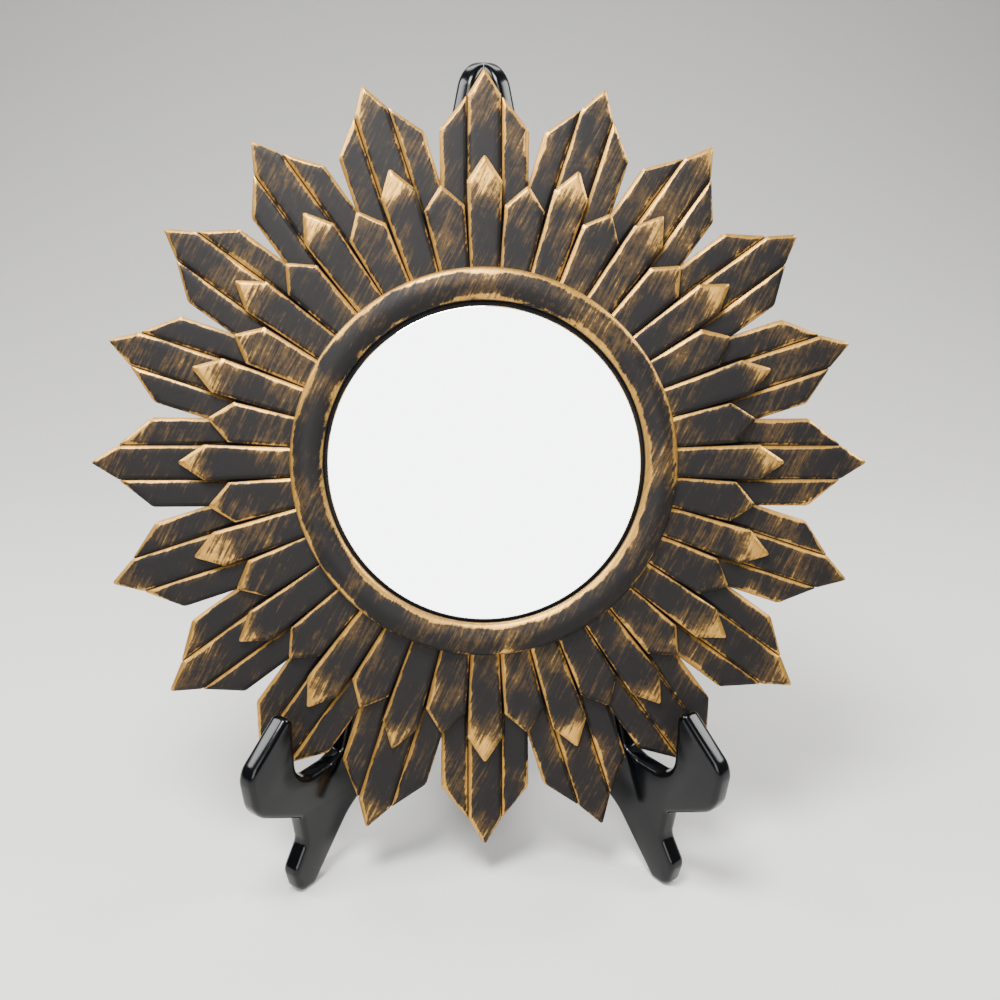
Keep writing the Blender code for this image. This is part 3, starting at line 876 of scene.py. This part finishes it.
def brush_reach_and_tier_shade(material, wear, radius, upper):
    """Where the brush gets to. It skips the bottom of the grooves, and the lower bars where
    the upper ones stand over them. The bare black that this leaves on the lower bars, fading out
    towards the long bars' tips, is also painted shade under the upper tier."""
    reached = add_node(material, "ShaderNodeMapRange", {
        "Value": (wear, "X"), "From Min": BRUSH_REACH[0], "From Max": BRUSH_REACH[1],
    }, interpolation_type="SMOOTHSTEP")
    open_or_reached = add_node(material, "ShaderNodeMath", {
        0: (reached, "Result"), 1: (wear, "Y"),
    }, operation="MAXIMUM")
    # Gold fades in on the lower bars away from the upper tier: the brush misses them there, and
    # the bare black is painted shade under the upper tier
    clear_of_tier_shade = add_node(material, "ShaderNodeMapRange", {
        "Value": (radius, "Value"), "From Min": SHORT_BAR_SHOULDER, "From Max": LONG_BAR_TIP,
    })
    uncovered_and_unshaded = add_node(material, "ShaderNodeMath", {
        0: (clear_of_tier_shade, "Result"), 1: (upper, "Result"),
    }, operation="MAXIMUM")
    return add_node(material, "ShaderNodeMath", {
        0: (open_or_reached, "Value"), 1: (uncovered_and_unshaded, "Value"),
    }, operation="MULTIPLY")


def dry_brushed_plastic():
    """Moulded black polystyrene, dry-brushed with antique gold paint."""
    # To the eye: satin black grooves and walls, gold that is solid on the sloped edges and
    # breaks up into slanting strokes on the faces. The IOR is brought down from polystyrene's
    # 1.59, because the photograph's blacks reflect less than that
    material, shader = new_material("dry_brushed_black_plastic", IOR=1.3)
    plane, wear, to_brush_and_light = moulding_places(material)
    textures = brush_textures(material, plane)
    strokes, patches, specks = textures
    height, radius, upper = tiers(material, plane)
    on_tips = tip_cover(material, radius, upper)
    cover = side_cover(material, plane, height, to_brush_and_light)

    on_edges = gold_on_edges(material, wear, cover, textures)
    on_faces = gold_on_faces(material, wear, cover, on_tips, textures)
    brushed = add_node(material, "ShaderNodeMath", {
        0: (on_edges, "Result"), 1: (on_faces, "Value"),
    }, operation="MAXIMUM")
    # Gold is kept off the bottom of the grooves and, as painted shade, off the lower bars next to
    # the upper tier
    reached_and_unshaded = brush_reach_and_tier_shade(material, wear, radius, upper)
    gold = add_node(material, "ShaderNodeMath", {
        0: (brushed, "Value"), 1: (reached_and_unshaded, "Value"),
    }, operation="MULTIPLY")

    # Inputs 6 and 7 and output 2 of a Mix node are its colours
    gold_colour = add_node(material, "ShaderNodeMix", {
        "Factor": (strokes, "Fac"), 6: srgb("86561b"), 7: srgb("e4b45c"),
    }, data_type="RGBA")
    black_colour = add_node(material, "ShaderNodeMix", {
        "Factor": (patches, "Fac"), 6: srgb("07080b"), 7: srgb("17110d"),
    }, data_type="RGBA")
    colour = add_node(material, "ShaderNodeMix", {
        "Factor": (gold, "Value"), 6: (black_colour, 2), 7: (gold_colour, 2),
    }, data_type="RGBA")
    metal = add_node(material, "ShaderNodeMath", {
        0: (gold, "Value"), 1: GOLD_METALLIC,
    }, operation="MULTIPLY")
    uneven = add_node(material, "ShaderNodeMapRange", {
        "Value": (specks, "Fac"), "To Min": BLACK_ROUGHNESS[0], "To Max": BLACK_ROUGHNESS[1],
    })
    rough = add_node(material, "ShaderNodeMath", {
        0: (gold, "Value"), 1: GOLD_ROUGHNESS_CHANGE, 2: (uneven, "Result"),
    }, operation="MULTIPLY_ADD")
    relief = add_node(material, "ShaderNodeMath", {
        0: (specks, "Fac"), 1: (gold, "Value"),
    }, operation="ADD")
    bump = add_node(material, "ShaderNodeBump", {
        "Height": (relief, "Value"),
        "Distance": PAINT_RELIEF,
        "Strength": PAINT_RELIEF_STRENGTH,
    })
    add_links(material, shader, {
        "Base Color": (colour, 2), "Metallic": (metal, "Value"),
        "Roughness": (rough, "Value"), "Normal": (bump, "Normal"),
    })
    return material


def silvered_glass():
    """Thin float glass, polished and silvered behind."""
    # To the eye: a true reflection without blur, with a faint cool cast
    return new_material(
        "silvered_float_glass", Base_Color=srgb("f1f5f4"), Metallic=1.0, Roughness=0.0
    )[0]


def gloss_plastic():
    """Black polystyrene, as it comes glossy out of a polished mould."""
    # To the eye: deep black with soft sharp-edged lights that waver a little. The IOR is
    # brought down from polystyrene's 1.59, because the photograph's easel reflects less
    material, shader = new_material(
        "black_gloss_polystyrene", Base_Color=srgb("030406"), IOR=1.34
    )
    place = add_node(material, "ShaderNodeTexCoord")
    waves = add_node(material, "ShaderNodeTexNoise", {
        "Vector": (place, "Object"), "Scale": 1.0 / WAVE_SIZE, "Detail": 2.0, "Roughness": 0.5,
    })
    rough = add_node(material, "ShaderNodeMapRange", {
        "Value": (waves, "Fac"), "To Min": GLOSS_ROUGHNESS[0], "To Max": GLOSS_ROUGHNESS[1],
    })
    bump = add_node(material, "ShaderNodeBump", {
        "Height": (waves, "Fac"), "Distance": WAVE_RELIEF, "Strength": WAVE_STRENGTH,
    })
    add_links(material, shader, {"Roughness": (rough, "Result"), "Normal": (bump, "Normal")})
    return material


def dress(piece, material, slot, *nodes):
    """Gives a piece its finish, hangs it under the root body and hides the solids that it stands
    for.
    """
    piece.data.materials.clear()
    piece.data.materials.append(material)
    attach(piece, "root")
    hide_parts(*nodes)


# Light, floor and camera


def add_area_light(name, place, target, size, power):
    """A rectangular soft light that faces a point."""
    start()
    bpy.ops.object.light_add(type="AREA", location=place)
    lamp = bpy.context.object
    lamp.name = name
    lamp.data.shape = "RECTANGLE"
    lamp.data.size, lamp.data.size_y = size
    lamp.data.energy = power
    lamp.rotation_euler = (Vector(place) - Vector(target)).to_track_quat("Z", "Y").to_euler()


def add_floor():
    """The plain pale floor, which sweeps up behind in a wide curve."""
    start()
    middle = (0.0, FLOOR_BACK - FLOOR_SIZE / 2.0, 0.0)
    bpy.ops.mesh.primitive_plane_add(size=FLOOR_SIZE, location=middle)
    apply_place(bpy.context.object)
    floor = new_piece("floor")

    def at_back(vert):
        return vert.co.y > 0.0

    def at_wall_foot(vert):
        return at_back(vert) and vert.co.z < WALL_HEIGHT / 2.0

    pick("edges", lambda edge: all(at_back(vert) for vert in edge.verts))
    bpy.ops.mesh.extrude_region_move(TRANSFORM_OT_translate={"value": (0.0, 0.0, WALL_HEIGHT)})
    pick("edges", lambda edge: all(at_wall_foot(vert) for vert in edge.verts))
    bpy.ops.mesh.bevel(offset=SWEEP_RADIUS, segments=SWEEP_SEGMENTS, affect="EDGES")
    close_piece()
    use_only(floor)
    bpy.ops.object.shade_smooth()
    paper = new_material("matt_paper", Base_Color=srgb("d9d8d5"), Roughness=0.9)[0]
    floor.data.materials.append(paper)


def add_camera():
    """The camera, where the photograph was taken from."""
    bpy.ops.object.camera_add()
    camera = bpy.context.object
    about_x, about_y, about_z = (
        Matrix.Rotation(angle, 3, axis) for angle, axis in zip(CAMERA_TURN, "XYZ")
    )
    turn = (about_z @ about_y @ about_x).transposed().to_4x4()
    camera.matrix_world = MIRROR_PLACE @ Matrix.Translation(CAMERA_PLACE) @ turn
    camera.data.lens = LENS
    camera.data.sensor_width = SENSOR
    bpy.context.scene.camera = camera


def add_world():
    """An even pale surround."""
    world = bpy.data.worlds.new("studio")
    world.use_nodes = True
    background = world.node_tree.nodes["Background"]
    background.inputs["Color"].default_value = srgb("f4f4f2")
    background.inputs["Strength"].default_value = SURROUND_STRENGTH
    bpy.context.scene.world = world


moulding = sunburst()
glass = glass_disc()
left = easel_half("easel_plate_left", -1)
right = easel_half("easel_plate_right", 1)

dress(moulding, dry_brushed_plastic(), "brushed_moulding", "sunburst_frame")
dress(glass, silvered_glass(), "silvered_glass", "mirror_glass")
easel_finish = gloss_plastic()
dress(left, easel_finish, "easel_plastic", "easel_left")
dress(right, easel_finish, "easel_plastic", "easel_right")

add_floor()
add_world()
panel_place = MIRROR_PLACE @ Vector((*PANEL_MIDDLE, PANEL_DISTANCE))
panel_foot = MIRROR_PLACE @ Vector((*PANEL_MIDDLE, 0.0))
add_area_light("panel_seen_in_mirror", panel_place, panel_foot, PANEL_SIZE, PANEL_POWER)
for name, place, size, power in SOFTBOXES:
    add_area_light(name, place, MIRROR_PLACE.translation, size, power)
add_camera()
